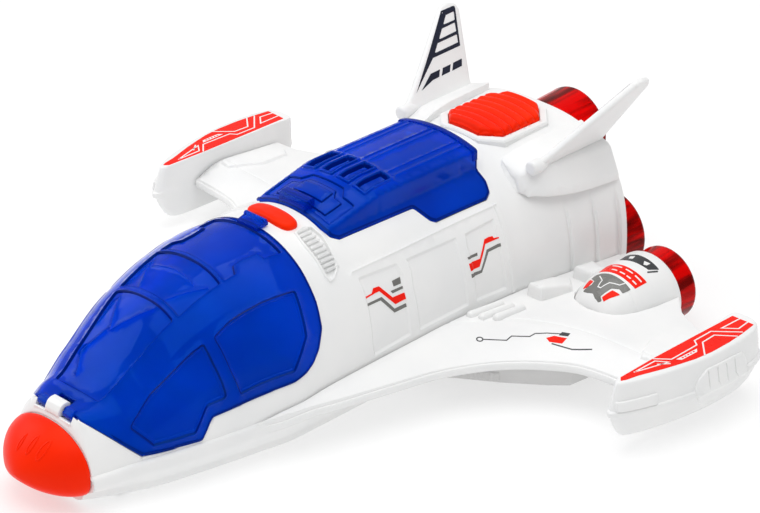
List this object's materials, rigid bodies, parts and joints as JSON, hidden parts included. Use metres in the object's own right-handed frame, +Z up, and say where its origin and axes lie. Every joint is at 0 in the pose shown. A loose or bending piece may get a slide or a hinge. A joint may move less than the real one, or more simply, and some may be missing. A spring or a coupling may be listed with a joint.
{
  "type": "toy space shuttle",
  "caption": "Toy space shuttle with a hinged clear cockpit canopy, a hinged cargo canopy, winglet pods, canted fins and clear engine nozzles, on small free-rolling wheels.",
  "frame": {"origin": "centre of the bounding box at floor level, under the wheels", "axes": "+Z up, -Y to the nose, +X to the port wing"},
  "size_m": [0.3544, 0.3738, 0.1238],
  "materials": {
    "white_plastic": "semi-gloss moulded",
    "grey_plastic": "satin moulded",
    "orange_plastic": "semi-gloss moulded",
    "clear_blue": "clear tinted, polished",
    "clear_red": "clear tinted, polished",
    "black_plastic": "satin moulded",
    "axle_steel": "plain"
  },
  "bodies": {
    "airframe": {"battery_door": "white_plastic", "canopy_clip": "white_plastic", "cargo_tray": "grey_plastic", "cockpit_bulkhead": "white_plastic", "cockpit_console": "grey_plastic", "cockpit_tub": "grey_plastic", "fairing_left": "white_plastic", "fairing_right": "white_plastic", "fin_left": "white_plastic", "fin_plate_left": "white_plastic", "fin_plate_right": "white_plastic", "fin_right": "white_plastic", "hull_lower": "white_plastic", "hull_upper": "white_plastic", "nacelle_left": "white_plastic", "nacelle_right": "white_plastic", "nose_cap": "orange_plastic", "nozzle_main_left": "clear_red", "nozzle_main_right": "clear_red", "nozzle_main_top": "clear_red", "nozzle_wing_left": "clear_red", "nozzle_wing_right": "clear_red", "oval_button": "orange_plastic", "pilot_seat": "grey_plastic", "pod_left": "white_plastic", "pod_right": "white_plastic", "vent_button": "orange_plastic", "vent_frame": "white_plastic", "wing_left": "white_plastic", "wing_right": "white_plastic"},
    "cockpit_canopy": {"cockpit_canopy": "clear_blue"},
    "cargo_canopy": {"cargo_canopy": "clear_blue"},
    "front_wheels": {"axle_front": "axle_steel", "wheel_front_left": "black_plastic", "wheel_front_right": "black_plastic"},
    "rear_wheels": {"axle_rear": "axle_steel", "wheel_rear_left": "black_plastic", "wheel_rear_right": "black_plastic"}
  },
  "joints": [
    {"name": "cockpit_canopy_hinge", "type": "hinge", "parent": "airframe", "child": "cockpit_canopy", "pos_m": [0, -0.15912, 0.0429], "axis": [1, 0, 0], "range_deg": [0, 80]},
    {"name": "cargo_canopy_hinge", "type": "hinge", "parent": "airframe", "child": "cargo_canopy", "pos_m": [0, 0.08378, 0.095], "axis": [-1, 0, 0], "range_deg": [0, 75]},
    {"name": "front_wheels_spin", "type": "hinge", "parent": "airframe", "child": "front_wheels", "pos_m": [0, -0.13673, 0.008], "axis": [1, 0, 0], "continuous": true},
    {"name": "rear_wheels_spin", "type": "hinge", "parent": "airframe", "child": "rear_wheels", "pos_m": [0, 0.08927, 0.008], "axis": [1, 0, 0], "continuous": true}
  ]
}
